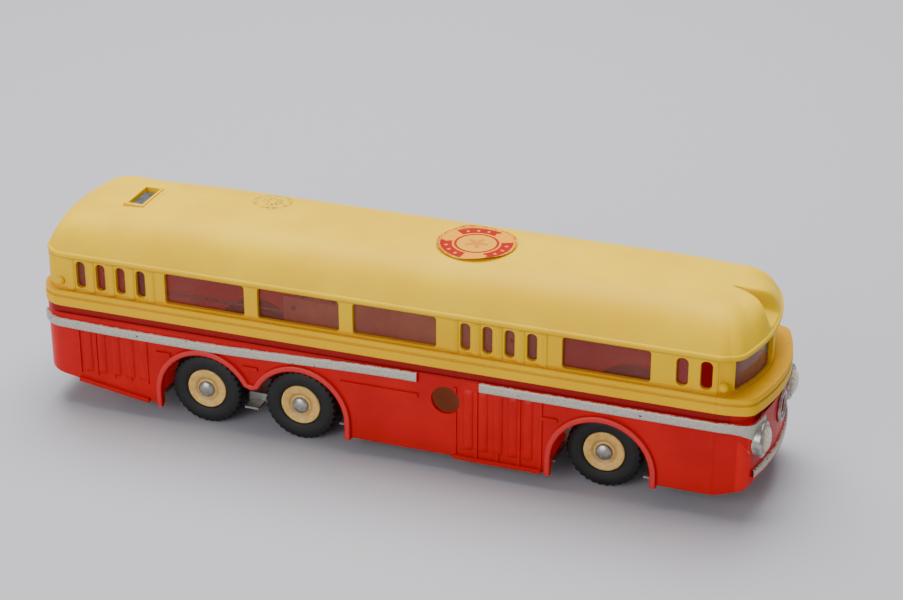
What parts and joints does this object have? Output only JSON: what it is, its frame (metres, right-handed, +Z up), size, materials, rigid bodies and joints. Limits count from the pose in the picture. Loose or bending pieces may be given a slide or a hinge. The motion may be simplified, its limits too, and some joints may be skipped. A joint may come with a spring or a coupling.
{
  "type": "wind-up toy bus",
  "caption": "Three-axle clockwork toy bus: yellow domed upper shell on a red skirted lower shell, rolling wheels, geared wind-up motor on a tin base and a roof stop lever.",
  "frame": {"origin": "on the floor under the middle of the bus's box", "axes": "+X to the front, +Z up, -Y to the door side"},
  "size_m": [0.2698, 0.0622, 0.0739],
  "materials": {
    "yellow_plastic": "moulded, slightly waxy gloss",
    "red_plastic": "moulded gloss with silver paint on its raised strips",
    "clear_plastic": "clear sheet",
    "lamp_plastic": "pale domed lens",
    "cream_plastic": "satin",
    "rubber": "dull black",
    "tinplate": "dull grey",
    "steel": "plain",
    "brass": "plain"
  },
  "bodies": {
    "body": {"upper_body": "yellow_plastic", "lower_body": "red_plastic", "glazing_right": "clear_plastic", "glazing_left": "clear_plastic", "windscreen": "clear_plastic", "rear_window": "clear_plastic", "headlamp_right": "lamp_plastic", "headlamp_left": "lamp_plastic", "base_plate": "tinplate", "base_screws": "steel", "motor_plate_right": "steel", "motor_plate_left": "steel", "motor_pillars": "brass", "mainspring": "steel", "lever_pin": "steel"},
    "front_wheels": {"front_axle": "steel", "front_hub_right": "cream_plastic", "front_hub_left": "cream_plastic", "front_tyre_right": "rubber", "front_tyre_left": "rubber", "front_cap_right": "tinplate", "front_cap_left": "tinplate"},
    "mid_wheels": {"mid_axle": "steel", "axle_pinion": "steel", "mid_hub_right": "cream_plastic", "mid_hub_left": "cream_plastic", "mid_tyre_right": "rubber", "mid_tyre_left": "rubber", "mid_cap_right": "tinplate", "mid_cap_left": "tinplate"},
    "rear_wheels": {"rear_axle": "steel", "rear_hub_right": "cream_plastic", "rear_hub_left": "cream_plastic", "rear_tyre_right": "rubber", "rear_tyre_left": "rubber", "rear_cap_right": "tinplate", "rear_cap_left": "tinplate"},
    "third_gear": {"third_arbor": "steel", "third_pinion": "steel", "third_wheel": "brass"},
    "second_gear": {"second_arbor": "steel", "second_pinion": "steel", "second_wheel": "brass"},
    "winding_gear": {"winding_arbor": "steel", "great_wheel": "brass", "ratchet_wheel": "steel", "ratchet_click": "brass"},
    "stop": {"stop_lever": "tinplate", "stop_wire": "steel"}
  },
  "joints": [
    {"name": "front_axle_spin", "type": "hinge", "parent": "body", "child": "front_wheels", "pos_m": [0.0776, 0, 0.0136], "axis": [0, 1, 0], "continuous": true},
    {"name": "mid_axle_spin", "type": "hinge", "parent": "body", "child": "mid_wheels", "pos_m": [-0.0333, 0, 0.0136], "axis": [0, 1, 0], "continuous": true},
    {"name": "rear_axle_spin", "type": "hinge", "parent": "body", "child": "rear_wheels", "pos_m": [-0.0698, 0, 0.0136], "axis": [0, 1, 0], "continuous": true},
    {"name": "third_arbor_turn", "type": "hinge", "parent": "body", "child": "third_gear", "pos_m": [-0.02047, 0, 0.0301], "axis": [0, 1, 0], "continuous": true},
    {"name": "second_arbor_turn", "type": "hinge", "parent": "body", "child": "second_gear", "pos_m": [0.00042, 0, 0.03063], "axis": [0, 1, 0], "continuous": true},
    {"name": "winding_arbor_turn", "type": "hinge", "parent": "body", "child": "winding_gear", "pos_m": [0.0227, 0, 0.0275], "axis": [0, 1, 0], "continuous": true},
    {"name": "stop_lever_swing", "type": "hinge", "parent": "body", "child": "stop", "pos_m": [-0.106, 0, 0.0148], "axis": [1, 0, 0], "range_deg": [-1.49, 1.49]}
  ],
  "couplings": [
    {"joint": "third_arbor_turn", "follows": "mid_axle_spin", "ratio": -0.3},
    {"joint": "second_arbor_turn", "follows": "mid_axle_spin", "ratio": 0.09},
    {"joint": "winding_arbor_turn", "follows": "mid_axle_spin", "ratio": -0.024545}
  ]
}
